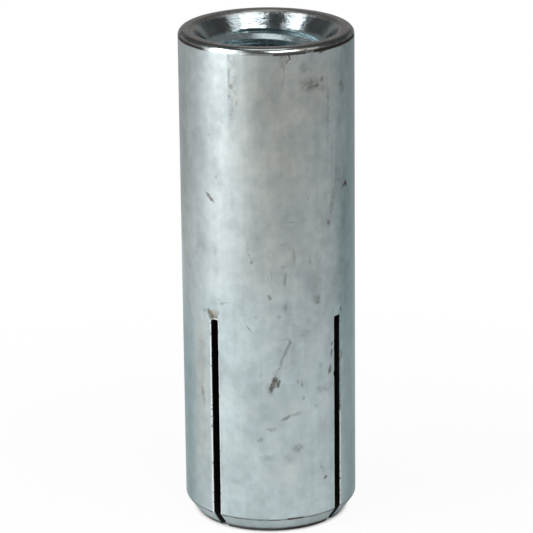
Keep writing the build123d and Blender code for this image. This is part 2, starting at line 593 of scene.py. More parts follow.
def add_thread(draft, form, bottom):
    """The helical thread and its run-out in the countersink, from the bottom row to a level row on top."""
    low, high = THREAD_END, thread_top(form.sizes)
    radii, heights, per_turn = thread_grid(form, low, high)
    turned = form.angles(THREAD_BORE_RADIUS, fine=False)
    top = draft.row(form.ring(float(opening_radius(form.sizes, high)), high, fine=False))
    points = np.stack([radii * np.cos(turned), radii * np.sin(turned), heights], -1)
    numbers = np.empty(heights.shape, int)
    for j in range(len(heights)):
        inside = (heights[j] > low) & (heights[j] < high)
        numbers[j] = np.where(heights[j] >= high, top, bottom)
        numbers[j, inside] = draft.row(points[j, inside])

    # Beyond the last column comes the first one, a turn higher up the thread
    beyond = np.vstack([numbers[per_turn:, :1], np.full((per_turn, 1), top[0])])
    numbers = np.hstack([numbers, beyond])
    for j in range(len(heights) - 1):
        for i in range(len(turned)):
            draft.face([numbers[j, i], numbers[j, i + 1], numbers[j + 1, i + 1], numbers[j + 1, i]], MOUTH)
    return top


def bevel_slots(mesh, sizes):
    """Breaks the edge between the outside and each slot, where the saw left a burr."""
    work = bmesh.new()
    work.from_mesh(mesh)
    edges = [
        e
        for e in work.edges
        if len(e.link_faces) == 2
        and {f.material_index for f in e.link_faces} == {OUTSIDE, CUT}
        and max(math.hypot(v.co.x, v.co.y) for v in e.verts) > BODY_RADIUS - sizes.toe_chamfer_width
        and max(v.co.z for v in e.verts) < sizes.slot_top - sizes.scoop_length
    ]
    bmesh.ops.bevel(
        work, geom=edges, offset=sizes.slot_burr, segments=2, profile=0.5, affect="EDGES", material=EDGE
    )
    work.to_mesh(mesh)
    work.free()


# Marks pressed into the outside: millimetres round from the front, height above the toe, half width,
# half length, lean to the right in degrees, and depth
PRESSED_MARKS = [
    (0.45, 20.40, 0.36, 1.15, 19, 0.06),
    (1.11, 20.46, 0.22, 0.45, 9, 0.04),
    (-7.88, 44.15, 0.36, 0.95, -50, 0.03),
    (11.70, 44.90, 0.40, 0.34, 45, 0.14),
    (2.01, 15.88, 0.26, 0.66, 57, 0.04),
    (7.51, 6.88, 0.29, 0.27, 0, 0.06),
    (6.37, 30.80, 0.24, 0.40, -20, 0.05),
    (0.05, 31.95, 0.28, 0.24, 0, 0.05),
    (-8.02, 14.75, 0.16, 0.16, 0, 0.14),
    (-8.02, 18.05, 0.13, 0.28, 0, 0.10),
    (9.12, 24.10, 0.16, 0.24, 0, 0.14),
    (9.12, 23.20, 0.18, 0.20, 0, 0.12),
    (9.12, 20.40, 0.14, 0.18, 0, 0.12),
    (-8.02, 28.80, 0.34, 0.80, -24, 0.07),
    (7.25, 62.95, 0.46, 0.24, 0, 0.05),
    (4.97, 63.00, 0.34, 0.20, 0, 0.04),
    (22.00, 47.50, 0.34, 0.95, -35, 0.05),
    (-19.50, 12.20, 0.30, 0.52, 20, 0.06),
    (31.00, 25.50, 0.24, 1.30, 15, 0.05),
]


def across_of(point):
    """Length round the outside from the front to a point."""
    facing, right = front_directions()
    return math.atan2(point.xy.dot(right), point.xy.dot(facing)) * BODY_RADIUS


def share_of_mark(point, mark):
    """How far out of a mark's middle a point is: 1 at the mark's edge."""
    across, up, width, length, lean = mark[:5]
    aside = across_of(point) / MM - across
    above = point.z / MM - up
    turn = math.radians(lean)
    return math.hypot(
        (aside * math.cos(turn) - above * math.sin(turn)) / width,
        (aside * math.sin(turn) + above * math.cos(turn)) / length,
    )


def press_marks(mesh):
    """Dents and nicks: the faces under each mark are divided, and their points moved inwards."""
    work = bmesh.new()
    work.from_mesh(mesh)
    for mark in PRESSED_MARKS:
        up, depth = mark[1], mark[5]
        margin = 1.3 * max(mark[2:4]) + 0.3
        low, high = (up - margin) * MM, (up + margin) * MM
        edges = set()
        for face in work.faces:
            if face.material_index == OUTSIDE and low < face.verts[0].co.z < high:
                if share_of_mark(face.calc_center_median(), mark) < 1.4:
                    edges.update(face.edges)
        bmesh.ops.subdivide_edges(work, edges=list(edges), cuts=3, use_grid_fill=True)
        for vert in work.verts:
            if low < vert.co.z < high and vert.co.xy.length > BODY_RADIUS - 0.6 * MM:
                away = share_of_mark(vert.co, mark)
                if away < 1:
                    vert.co.xy *= 1 - depth * MM * (1 - away**2) ** 2 / vert.co.xy.length
    work.to_mesh(mesh)
    work.free()


def part_finishes(mesh):
    """Gives the upper half of the outside its own finish, so that each finish holds half of the wear."""
    for face in mesh.polygons:
        if face.material_index == OUTSIDE and face.center.z > BODY_LENGTH / 2:
            face.material_index = UPPER


def new_piece(name, mesh):
    """An object for a mesh, in the scene."""
    piece = bpy.data.objects.new(name, mesh)
    bpy.context.scene.collection.objects.link(piece)
    return piece


def shade_by_angle(mesh, sharpest):
    """Smooth shading that stays sharp at edges past an angle in degrees."""
    mesh.shade_smooth()
    mesh.set_sharp_from_angle(angle=math.radians(sharpest))


def is_vector(side):
    """Whether one side of an expression has three parts."""
    return isinstance(side, tuple) or (isinstance(side, Wire) and side.socket.type != "VALUE")


class Wire:
    """A shader socket that can stand in a Python expression."""

    def __init__(self, graph, socket):
        self.graph = graph
        self.socket = socket

    def out(self, name):
        """Another output of the same node."""
        return Wire(self.graph, self.socket.node.outputs[name])

    def combine(self, operation, *sides):
        """Adds a Math node, or a Vector Math node where a side is a vector."""
        if any(is_vector(side) for side in sides):
            full = [side if isinstance(side, (tuple, Wire)) else (side,) * 3 for side in sides]
            return self.graph.node("ShaderNodeVectorMath", {"operation": operation}, dict(enumerate(full)))
        return self.graph.node("ShaderNodeMath", {"operation": operation}, dict(enumerate(sides)))

    def __add__(self, other):
        return self.combine("ADD", self, other)

    def __radd__(self, other):
        return self.combine("ADD", other, self)

    def __sub__(self, other):
        return self.combine("SUBTRACT", self, other)

    def __rsub__(self, other):
        return self.combine("SUBTRACT", other, self)

    def __mul__(self, other):
        return self.combine("MULTIPLY", self, other)

    def __or__(self, other):
        """The greater of two masks."""
        return self.combine("MAXIMUM", self, other)

    def step(self, low, high):
        """A smooth step from 0 at the first level to 1 at the second."""
        if low > high:
            return 1 - self.step(high, low)
        sockets = {0: self, "From Min": low, "From Max": high}
        return self.graph.node("ShaderNodeMapRange", {"interpolation_type": "SMOOTHSTEP"}, sockets)

    def within(self, rise, fall):
        """A mask that rises over one pair of levels and falls over another."""
        return self.step(*rise) * self.step(*fall)

    def sway(self, amount):
        """Noise about 0.5, turned into noise about 0 that is as large as the amount."""
        return (self - 0.5) * amount

    def root(self):
        """The square root."""
        return self.combine("SQRT", self)


class Graph:
    """The nodes of one material or of the world."""

    def __init__(self, owner):
        owner.use_nodes = True
        self.owner = owner
        self.tree = owner.node_tree
        self.tree.nodes.clear()

    def node(self, kind, settings=None, sockets=None, output=0):
        """Adds a node: first its settings, then the values or links of its sockets."""
        node = self.tree.nodes.new(kind)
        for name, value in (settings or {}).items():
            setattr(node, name, value)
        for name, value in (sockets or {}).items():
            if isinstance(value, Wire):
                self.tree.links.new(value.socket, node.inputs[name])
            else:
                node.inputs[name].default_value = value
        return Wire(self, node.outputs[output]) if node.outputs else node

    def blend(self, share, under, over):
        """One colour laid over another by a share."""
        colours = {place: c if isinstance(c, Wire) else (*c, 1) for place, c in ((6, under), (7, over))}
        return self.node("ShaderNodeMix", {"data_type": "RGBA"}, {0: share, **colours}, output=2)

    def place(self):
        """The point on the object, in millimetres."""
        return self.node("ShaderNodeTexCoord", output="Object") * (1 / MM)

    def parts(self, vector):
        """The three parts of a vector."""
        x = self.node("ShaderNodeSeparateXYZ", None, {0: vector})
        return x, x.out("Y"), x.out("Z")

    def height(self, vector):
        """The upright part of a vector."""
        return self.node("ShaderNodeSeparateXYZ", None, {0: vector}, "Z")

    def noise(self, spot, scale, detail, roughness=0.5, output="Fac"):
        """Fractal noise, from about 0.2 to 0.8, at features per millimetre."""
        sockets = {"Vector": spot, "Scale": scale, "Detail": detail, "Roughness": roughness}
        return self.node("ShaderNodeTexNoise", None, sockets, output)

    def polar(self, spot):
        """Millimetres round the body from its front, height and distance from the axis."""
        x, y, up = self.parts(spot)
        facing, right = front_directions()
        ahead = x * facing.x + y * facing.y
        aside = x * right.x + y * right.y
        turn = aside.combine("ARCTAN2", aside, ahead)
        return turn * (BODY_RADIUS / MM), up, (x * x + y * y).root()

    def flat(self, across, up):
        """A point on the unrolled outside."""
        return self.node("ShaderNodeCombineXYZ", None, {"X": across, "Y": up})

    def spots(self, flat, marks, softness):
        """A mask of oval marks, each (across, up, half width, half length, lean, strength)."""
        mask = None
        for across, up, width, length, lean, strength in marks:
            upright = flat
            if lean:
                turn = {"Vector": flat, "Center": (across, up, 0), "Angle": math.radians(lean)}
                upright = self.node("ShaderNodeVectorRotate", {"rotation_type": "Z_AXIS"}, turn)
            size, middle = (1 / width, 1 / length, 0), (-across / width, -up / length, 0)
            local = upright.combine("MULTIPLY_ADD", upright, size, middle)
            away = self.node("ShaderNodeVectorMath", {"operation": "LENGTH"}, {0: local}, output="Value")
            levels = {"From Min": 1 - softness, "From Max": 1 + softness, "To Min": strength, "To Max": 0.0}
            one = self.node("ShaderNodeMapRange", {"interpolation_type": "SMOOTHSTEP"}, {0: away, **levels})
            mask = one if mask is None else mask | one
        return mask

    def metal(self, base, roughness, height, metallic=1.0):
        """Ends the material in a metal shader, with a relief whose height is in millimetres."""
        relief = self.node("ShaderNodeBump", None, {"Strength": 1.0, "Distance": MM, "Height": height})
        sockets = {"Base Color": base, "Roughness": roughness, "Metallic": metallic, "Normal": relief}
        shader = self.node("ShaderNodeBsdfPrincipled", None, sockets)
        self.node("ShaderNodeOutputMaterial", None, {"Surface": shader})
        return self.owner


def front_directions():
    """The level directions from the axis to the shell's front, and to the right of the front."""
    azimuth = math.radians(FRONT)
    facing = Vector((math.sin(azimuth), -math.cos(azimuth)))
    return facing, Vector((-facing.y, facing.x))


# Wear on the outside: millimetres round from the shell's front, height above the toe, half width,
# half length, lean to the right in degrees, and strength. Round from the front, the left slot is at -7.4
# and the right slot at 9.8, which the finishes below count on too.
DARK_MARKS = [
    (0.44, 20.40, 0.36, 1.22, 19, 0.95),
    (1.11, 20.46, 0.26, 0.52, 9, 0.9),
    (2.55, 25.87, 0.22, 0.42, 19, 0.5),
    (2.01, 15.88, 0.26, 0.70, 57, 0.5),
    (7.51, 6.88, 0.29, 0.27, 0, 0.75),
    (8.39, 21.27, 0.25, 0.6, 16, 0.75),
    (8.65, 23.41, 0.16, 0.52, 11, 0.8),
    (8.72, 24.60, 0.30, 0.16, -25, 0.7),
    (10.52, 22.61, 0.26, 0.6, 0, 0.5),
    (0.06, 31.90, 0.24, 0.24, 0, 0.55),
    (-7.86, 44.17, 0.26, 0.85, -50, 0.85),
    (11.74, 44.84, 0.42, 0.32, 45, 1.0),
    (8.31, 40.53, 0.16, 0.3, 0, 0.65),
    (-2.20, 36.39, 0.19, 0.15, 0, 0.55),
    (-4.71, 60.05, 0.17, 0.3, 0, 0.45),
    (-4.47, 58.64, 0.2, 0.36, 0, 0.5),
    (-4.73, 57.48, 0.15, 0.25, 0, 0.4),
    (-7.70, 52.19, 0.14, 0.16, 0, 0.4),
    (2.82, 62.40, 0.10, 0.55, 12, 0.85),
    (2.58, 61.90, 0.10, 0.35, 25, 0.7),
    (6.35, 58.40, 0.45, 0.26, 0, 0.75),
    (7.26, 59.10, 0.22, 0.35, 30, 0.5),
    (10.75, 57.80, 0.36, 0.43, 0, 0.5),
    (11.13, 44.70, 0.22, 0.35, 45, 0.8),
    (8.12, 40.70, 0.20, 0.29, 0, 0.5),
    (-4.68, 60.50, 0.11, 0.27, 0, 0.4),
    (-4.49, 58.60, 0.19, 0.32, 0, 0.45),
    (-4.68, 57.50, 0.18, 0.13, 0, 0.45),
    (-2.15, 36.50, 0.17, 0.15, 0, 0.5),
    (0.00, 32.00, 0.25, 0.21, 0, 0.45),
    (6.31, 30.60, 0.19, 0.24, 0, 0.5),
    (4.97, 63.00, 0.31, 0.21, 0, 0.7),
    (7.12, 62.75, 0.46, 0.26, 0, 1.0),
    (7.79, 62.80, 0.30, 0.22, 0, 1.0),
    (10.37, 28.75, 0.22, 0.30, -30, 0.8),
    (-6.84, 28.95, 0.09, 0.55, 0, 0.6),
    (22.00, 47.50, 0.30, 0.90, -35, 0.7),
    (-19.50, 12.20, 0.28, 0.50, 20, 0.7),
    (31.00, 25.50, 0.22, 1.30, 15, 0.6),
    (-27.00, 53.00, 0.35, 0.30, 0, 0.6),
]
FAINT_MARKS = [
    (3.42, 16.27, 0.18, 0.86, 85, 0.8),
    (0.15, 14.43, 0.22, 0.55, 86, 0.9),
    (-1.27, 12.92, 0.28, 0.30, 0, 0.8),
    (3.52, 11.66, 0.58, 0.65, 0, 0.8),
    (-0.29, 10.51, 0.38, 0.94, 85, 0.5),
    (7.00, 8.27, 0.12, 0.77, -23, 0.6),
    (-9.68, 23.32, 0.6, 3.3, -3, 0.35),
    (1.93, 30.40, 0.35, 0.55, 14, 0.6),
    (1.21, 29.39, 0.25, 0.22, 0, 0.8),
    (6.37, 31.03, 0.5, 0.7, 0, 1.0),
    (4.72, 26.78, 0.6, 0.5, 0, 0.5),
    (6.89, 22.11, 0.25, 0.3, 0, 0.8),
    (7.58, 19.01, 0.49, 1.16, 82, 0.5),
    (4.12, 20.10, 0.22, 0.35, 0, 0.7),
    (4.31, 18.27, 0.22, 0.24, 0, 0.8),
    (6.09, 16.86, 0.28, 0.25, 0, 0.7),
    (4.63, 60.90, 0.5, 0.55, 0, 0.7),
    (2.05, 62.40, 0.45, 0.60, 0, 0.9),
    (1.91, 61.80, 0.22, 0.60, 12, 0.8),
    (5.57, 58.71, 1.2, 0.8, 0, 0.9),
    (7.42, 57.97, 0.3, 0.35, 0, 1.0),
    (11.07, 57.26, 0.36, 0.5, 0, 0.8),
    (8.76, 42.44, 0.3, 1.44, 11, 0.7),
    (3.13, 36.94, 0.28, 0.84, 0, 0.5),
    (-3.74, 56.76, 0.15, 0.3, 0, 0.9),
    (-6.81, 46.98, 0.2, 0.26, 0, 0.6),
    (6.4, 33.2, 1.2, 1.2, 0, 0.35),
    (4.54, 59.00, 0.69, 0.32, 0, 0.6),
    (6.64, 58.00, 0.61, 0.19, 0, 0.6),
    (8.27, 56.90, 0.24, 0.80, 0, 0.7),
    (8.22, 54.00, 0.17, 2.67, 0, 0.5),
    (1.86, 59.10, 0.13, 0.53, 0, 0.6),
    (10.37, 45.70, 0.43, 0.13, 0, 0.7),
    (2.58, 41.60, 0.23, 0.11, 0, 0.6),
    (5.11, 44.40, 0.14, 0.33, 0, 0.5),
    (-4.35, 55.50, 0.25, 1.87, 0, 0.5),
    (3.20, 36.90, 0.18, 0.93, -8, 0.8),
    (1.96, 38.70, 0.51, 0.11, 0, 0.6),
    (1.91, 35.80, 0.38, 0.12, 0, 0.6),
    (0.67, 37.40, 0.19, 0.11, 0, 0.7),
    (5.35, 36.20, 0.21, 0.67, 0, 0.5),
    (-5.83, 30.70, 0.73, 0.12, -10, 0.8),
    (-6.59, 31.00, 0.53, 0.11, 15, 0.6),
    (-8.93, 29.20, 0.37, 0.20, 0, 0.8),
    (-1.62, 29.30, 0.25, 0.20, 0, 0.6),
    (1.91, 26.30, 0.57, 0.12, -8, 0.8),
    (2.39, 25.40, 0.14, 0.53, 10, 0.9),
    (1.29, 22.60, 0.23, 0.67, 22, 0.7),
    (0.38, 20.60, 0.69, 1.60, 19, 0.6),
    (-1.10, 21.40, 0.11, 2.93, 0, 0.35),
    (-9.65, 18.00, 0.26, 1.20, -8, 0.9),
    (-4.54, 7.10, 0.55, 0.33, 0, 0.4),
    (2.48, 10.40, 0.77, 0.53, 0, 0.4),
    (6.69, 19.00, 0.46, 0.60, 0, 0.5),
    (9.03, 43.60, 0.37, 1.07, 0, 0.5),
    (9.60, 47.10, 0.24, 2.40, 0, 0.4),
    (3.58, 20.50, 0.13, 0.27, 0, 0.7),
    (18.50, 35.00, 0.80, 0.50, 0, 0.6),
    (-22.50, 31.00, 0.30, 2.00, 4, 0.5),
    (29.00, 56.00, 1.10, 0.60, 0, 0.7),
    (32.00, 10.00, 0.50, 0.80, 10, 0.6),
    (-31.00, 42.00, 0.25, 1.60, -12, 0.5),
    (-17.00, 57.00, 0.40, 0.90, 0, 0.6),
]
SCRATCHES = [
    (1.70, 23.76, 0.17, 2.35, 20, 0.6),
    (2.34, 25.60, 0.13, 0.75, 12, 0.6),
    (-2.60, 27.76, 0.09, 0.69, -31, 0.8),
    (-9.53, 17.83, 0.2, 1.19, -20, 0.5),
    (11.35, 46.31, 0.25, 0.9, 0, 0.35),
    (8.87, 48.47, 0.12, 2.56, 0, 0.3),
    (9.71, 47.63, 0.12, 3.08, 0, 0.3),
    (8.15, 56.89, 0.12, 2.52, 0, 0.35),
    (2.10, 60.69, 0.1, 1.87, 0, 0.45),
    (-2.54, 37.70, 0.09, 1.10, 5, 0.3),
    (0.04, 34.07, 0.08, 0.6, -18, 0.4),
    (2.14, 33.96, 0.1, 0.68, 12, 0.5),
    (2.66, 41.51, 0.08, 0.89, 88, 0.35),
    (-2.63, 38.50, 0.08, 1.07, 5, 0.4),
    (-2.34, 37.10, 0.08, 0.67, -25, 0.5),
    (0.33, 34.60, 0.09, 0.80, -5, 0.35),
    (2.05, 34.20, 0.10, 0.80, 8, 0.6),
    (-7.07, 37.30, 0.08, 0.67, -10, 0.45),
    (-3.11, 28.70, 0.08, 0.27, -20, 0.5),
    (1.77, 24.00, 0.10, 0.93, 22, 0.6),
    (3.68, 62.10, 0.07, 0.53, 10, 0.5),
    (11.75, 62.00, 0.13, 0.87, -15, 0.5),
    (22.50, 17.00, 0.09, 2.20, -28, 0.6),
    (-20.50, 24.00, 0.10, 1.40, 35, 0.55),
    (-30.00, 60.00, 0.08, 0.90, -15, 0.6),
    (20.00, 58.50, 0.10, 1.50, 12, 0.5),
    (27.50, 36.50, 0.09, 1.00, 60, 0.5),
    (-28.50, 8.00, 0.12, 1.20, -8, 0.6),
]

# Broad patches where the plate is duller, written as the marks are
DULL_PATCHES = [
    (4.5, 36.0, 7.0, 8.5, 0, 0.085),
    (20.0, 14.0, 5.0, 7.0, 0, 0.06),
    (-22.0, 44.0, 6.0, 8.0, 0, 0.07),
]

# The bruise beside the left slot's scoop, written as the marks are
BRUISE = (-8.06, 28.75, 0.30, 0.78, -24, 0.85)

# Broad patches where the plate has yellowed, written as the marks are
WARM_PATCHES = [
    (1.0, 54.0, 4.5, 11.0, 0, 0.85),
    (5.5, 58.0, 4.0, 4.0, 0, 0.8),
    (0.5, 40.0, 3.0, 6.0, 0, 0.5),
    (2.5, 8.5, 3.5, 2.5, 0, 0.12),
    (-10.0, 18.0, 1.6, 9.0, 0, 0.6),
]


def marks_between(marks, low, high):
    """The marks that reach into a stretch of the body's height."""
    return [mark for mark in marks if low < mark[1] + 2 * mark[3] and mark[1] - 2 * mark[3] < high]


def outside_patterns(graph):
    """Where a point lies on the outside, and the noises that the finish there is made from."""
    spot = graph.place()
    across, up, reach = graph.polar(spot)
    wander = graph.noise(spot, 1.7, 3, output="Color") - 0.5
    return SimpleNamespace(
        across=across,
        up=up,
        reach=reach,
        flat=graph.flat(across, up) + wander * 0.6,
        clouds=graph.noise(spot * (1, 1, 0.6), 0.17, 4, 0.6),
        blotches=graph.noise(spot * (1, 1, 0.8), 0.42, 3, 0.55),
        streaks=graph.noise(spot * (1, 1, 0.06), 1.3, 3, 0.6),
        mottle=graph.noise(spot, 0.9, 3, 0.5),
        patchy=graph.noise(spot, 2.1, 3, 0.7),
        grain=graph.noise(spot, 4.0, 3, 0.7),
    )


def plate_colour(graph, at, finish, low, high):
    """Plate that is whiter above the fingers, yellowed in patches, and darkened by painted shade at the
    sides and on the toe's chamfer.
    """
    chamfered = at.up.step(TOE_CHAMFER_TOP / MM + 0.15, TOE_CHAMFER_TOP / MM - 0.1)
    yellowed = graph.spots(at.flat, marks_between(WARM_PATCHES, low, high), 0.9)
    yellowed = yellowed + at.blotches.sway(1.5) + chamfered * 0.3
    plain = graph.blend(at.up.step(27, 38) * 0.8, finish.clean, finish.upper)
    plate = graph.blend(yellowed, plain, finish.warm)
    # Painted shade: darker towards the right side, and low down towards the left side, as the camera sees
    # them, and on the toe's chamfer.
    right_side = at.across.within((7.0, 13.5), (24, 18)) * (1 + at.up.within((20, 30), (50, 42)) * 0.6)
    left_side = at.across.within((-9.5, -14.0), (-24, -18)) * at.up.step(36, 20)
    painted_shade = (right_side * 0.85 + left_side + chamfered * 0.3) * (0.7 + at.clouds * 0.6)
    return graph.blend(painted_shade, plate, finish.painted_shade)


def plate_tone(graph, at, low, high):
    """How light the plate is: clouds, drawing streaks and mottling, less the dull patches and speckles."""
    tone = at.clouds.sway(0.46) + at.streaks.sway(0.15) + at.mottle.sway(0.30) + at.grain.sway(0.06)
    # Painted shade: the plate gets darker towards the top, which tones down the highlight there.
    tone = tone + at.blotches.sway(0.52) + 0.955 - at.up.step(24, 56) * 0.15
    dulled = graph.spots(at.flat, marks_between(DULL_PATCHES, low, high), 0.9)
    # Painted shade: a little darker towards the left side as the camera sees it.
    tone = tone - dulled - at.across.step(-11, -13) * 0.04
    speckled = at.across.within((-5.0, -4.8), (-3.0, -4.0)) * at.up.step(50, 55)
    return tone - speckled * (0.08 + at.mottle.step(0.42, 0.62) * at.up.step(54, 58) * 0.2)


def stained(graph, at, low, high):
    """A mask of the dirt in dents, smudges and scratches."""
    uneven = at.patchy.step(0.36, 0.62)
    dark = graph.spots(at.flat, marks_between(DARK_MARKS, low, high), 0.45) * (0.72 + uneven * 0.28)
    faint = graph.spots(at.flat, marks_between(FAINT_MARKS, low, high), 0.75) * (0.14 + uneven * 0.46)
    lines = graph.spots(at.flat, marks_between(SCRATCHES, low, high), 0.6) * (0.35 + uneven * 0.45)
    return dark | faint | lines


def toe_lines(at, sizes):
    """Masks of the dark line above the toe's chamfer, and of the painted contact shadow along the edge that
    the anchor stands on.
    """
    above = at.up - TOE_CHAMFER_TOP / MM + at.mottle.sway(0.16)
    darkest = at.across.within((1.8, 2.4), (4.6, 3.9))
    chamfer_line = above.step(-0.22, -0.04) * (above - darkest * 0.08).step(0.16, 0.02)
    chamfer_line = chamfer_line * (0.58 + at.mottle.step(0.4, 0.6) * 0.3 + darkest * 0.4)
    toe_radius = (BODY_RADIUS - sizes.toe_chamfer_width) / MM
    outer_edge = at.reach.step(toe_radius - 0.4, toe_radius - 0.15)
    # Painted contact shadow along the toe's outer edge, where the anchor meets the floor.
    toe_contact_shadow = (at.up + at.mottle.sway(0.16)).step(0.75, 0.35) * outer_edge
    return chamfer_line, toe_contact_shadow * (0.75 + at.across.step(0, 5) * 0.25)


def rim_lines(at):
    """Masks of the rim's round, of the dirt on it together with the painted shade along its foot, and of
    that painted shade alone.
    """
    rim = (at.up + at.mottle.sway(0.2)).step(RIM_FOOT - 0.08, RIM_FOOT + 0.06)
    oily = at.across.step(2.4, 4.2) | at.across.step(-7.0, -8.5)
    ragged = at.across + at.patchy.sway(2)
    # Painted shade: a dark line along the foot of the rim's round, on the front and on both sides.
    front = ragged.step(0.5, 1.1) * at.across.step(5.15, 4.85) * 0.8
    sides = (ragged.step(5.6, 6.3) | at.across.step(-7.5, -9.0)) * at.across.within((16, 15), (-16, -15))
    foot = (at.up + at.mottle.sway(0.15)).step(RIM_FOOT - 0.12, RIM_FOOT - 0.02)
    rim_foot_shade = (front | sides) * foot * at.up.step(RIM_FOOT + 0.38, RIM_FOOT + 0.24)
    dirt = (rim * oily * (0.45 + at.mottle.step(0.42, 0.6) * 0.35)) | rim_foot_shade
    return rim, dirt, rim_foot_shade


def outside_finish(finish, sizes, name, low, high):
    """Zinc plate on the turned outside between two heights, with its wear, its dirt, painted shade and a
    faint relief.
    """
    graph = Graph(bpy.data.materials.new(name))
    at = outside_patterns(graph)
    chamfer_line, toe_contact_shadow = toe_lines(at, sizes)
    rim, rim_dirt_and_shade, rim_foot_shade = rim_lines(at)
    # The stain mask also carries painted shade: the contact shadow along the toe and the dark line along the
    # rim's foot.
    stain = stained(graph, at, low, high) | chamfer_line | toe_contact_shadow | rim_dirt_and_shade

    plate = plate_colour(graph, at, finish, low, high) * plate_tone(graph, at, low, high)
    plate = graph.blend(stain, plate, finish.smudge_and_shade)
    # Painted shade: near-black laid along the rim's foot and the toe's edge.
    plate = graph.blend((rim_foot_shade | toe_contact_shadow) * 0.6, plate, finish.cut)
    plate = graph.blend(graph.spots(at.flat, [BRUISE], 0.5), plate, finish.wear)
    rim_face = at.up.step(BODY_LENGTH / MM - 0.06, BODY_LENGTH / MM - 0.02)
    plate = graph.blend(rim_face * 0.9, plate, finish.rim)

    rough = finish.roughness + at.clouds.sway(0.16) + at.mottle.sway(0.10) + stain * 0.18
    rough = rough - rim * 0.2 + rim_foot_shade * 0.4
    relief = at.mottle.sway(0.013) + at.grain.sway(0.001) + at.streaks.sway(0.004)
    return graph.metal(plate, rough, relief)


def mouth_finish(finish, sizes):
    """Countersink and thread: shiny where the countersink was cut, duller in the thread, with painted light
    on the thread at the sides of the mouth.
    """
    graph = Graph(bpy.data.materials.new("zinc_mouth"))
    spot = graph.place()
    across, up, reach = graph.polar(spot)
    rings = graph.noise(spot * (0.16, 0.16, 5.0), 1.3, 3, 0.7)
    chatter = graph.noise(spot, 0.9, 3, 0.6)
    ragged = graph.noise(spot, 1.8, 4, 0.7)
    cone_foot = sizes.countersink_foot / MM
    far_side = across.step(25.5, 33) | across.step(-27, -32)
    # Painted light: lighter thread at the sides of the mouth than across from the front.
    thread = graph.blend(far_side, finish.thread, finish.far_thread)
    plate = graph.blend(up.step(cone_foot + 0.22, cone_foot - 0.18), finish.cone, thread)
    plate = plate * (rings.sway(0.5) + chatter.sway(0.5) + 1)
    rim_edge = (reach + ragged.sway(0.5)).step(8.7, 9.15)
    plate = graph.blend(rim_edge * 0.8, plate, finish.rim)
    threaded = up.step(cone_foot + 0.12, cone_foot - 0.28)
    rough = 0.155 + rings.sway(0.14) + chatter.sway(0.1) + threaded * 0.11 + rim_edge * 0.2
    relief = rings.sway(0.010) + chatter.sway(0.030) + ragged.sway(0.010)
    return graph.metal(plate, rough, relief)


def cut_finish(finish, sizes):
    """Saw cuts: near-black painted shade below, and plated in the scoop where the saw ran out, with a
    painted highlight along the left slot's lip.
    """
    graph = Graph(bpy.data.materials.new("slot_cut"))
    spot = graph.place()
    across, up, reach = graph.polar(spot)
    mottle = graph.noise(spot, 1.2, 3, 0.6)
    lip, outside = (sizes.slot_top - sizes.scoop_length) / MM, BODY_RADIUS / MM
    shallow = reach.step(outside - 0.75, outside - 0.6)
    plated = (up + mottle.sway(0.2)).step(lip - 0.15, lip) * shallow
    left_slot = across.within((-4, -5), (-11, -10))
    # Painted highlight: near-white, less metallic plate along the left slot's lip.
    lip_highlight = left_slot * up.step(lip + 0.27, lip + 0.15)
    scoop = graph.blend(left_slot, finish.other_scoops, finish.scoop)
    scoop = graph.blend(lip_highlight, scoop, finish.edge)
    # Painted shade: below the scoop, the saw cuts are near-black.
    plate = graph.blend(plated, finish.cut, scoop) * (mottle.sway(0.7) + 1)
    metallic = plated * (1 - lip_highlight * 0.8)
    return graph.metal(plate, 0.42 + mottle.sway(0.2), mottle.sway(0.03), metallic)


def bore_finish(finish, sizes):
    """The bore below the thread: bare steel, and near-black painted shade between the fingers."""
    graph = Graph(bpy.data.materials.new("bore_steel"))
    spot = graph.place()
    up = graph.height(spot)
    rings = graph.noise(spot * (0.15, 0.15, 4.0), 1.2, 3, 0.6)
    mottle = graph.noise(spot, 0.8, 3, 0.6)
    chamber_foot = sizes.chamber_foot / MM
    in_chamber = (up + mottle.sway(3)).step(chamber_foot + 0.5, chamber_foot + 4.5)
    at_exit = (up + mottle.sway(2)).step(2.4, 1.0)
    # Painted shade: near-black on the bore except in the chamber and at the exit.
    steel = graph.blend(in_chamber | at_exit, finish.oil, finish.bore)
    return graph.metal(steel * (rings.sway(0.8) + 1), 0.4 + mottle.sway(0.25), rings.sway(0.02))


def edge_finish(finish):
    """The broken edge along each slot, partly rubbed bright and partly a painted highlight, and nicked; on
    the toe's chamfer, and on the right slot's right edge higher up, it takes the painted shade's colour.
    """
    graph = Graph(bpy.data.materials.new("worn_edge"))
    spot = graph.place()
    across, up, _ = graph.polar(spot)
    nicks = graph.noise(spot, 1.6, 4, 0.7)
    # Painted highlight: near-white and barely metallic. Painted shade: the painted shade's colour on the
    # toe's chamfer and on the right slot's right edge higher up.
    above_chamfer = up.step(TOE_CHAMFER_TOP / MM - 0.5, TOE_CHAMFER_TOP / MM + 0.2)
    right_slot = across.within((9.6, 9.9), (12, 11.5)) * (up + nicks.sway(12)).step(13, 17)
    plate = graph.blend(above_chamfer * (1 - right_slot * 0.9), finish.painted_shade, finish.edge)
    plate = graph.blend(nicks.step(0.54, 0.66) * 0.85, plate, finish.smudge_and_shade)
    return graph.metal(plate, 0.5 + nicks.sway(0.3), nicks.sway(0.05), 0.2)


def plug_finish(finish):
    """The expander plug: turned steel with fine rings and oil stains."""
    graph = Graph(bpy.data.materials.new("turned_steel"))
    spot = graph.place()
    _, up, reach = graph.polar(spot)
    rings = graph.noise(graph.flat(reach, up), 5.0, 3, 0.6)
    stain = graph.noise(spot, 0.35, 4, 0.6)
    steel = graph.blend(stain.step(0.5, 0.68) * 0.6, finish.plug, finish.smudge_and_shade)
    return graph.metal(steel * (rings.sway(0.35) + 1), 0.3 + stain.sway(0.3), rings.sway(0.012))


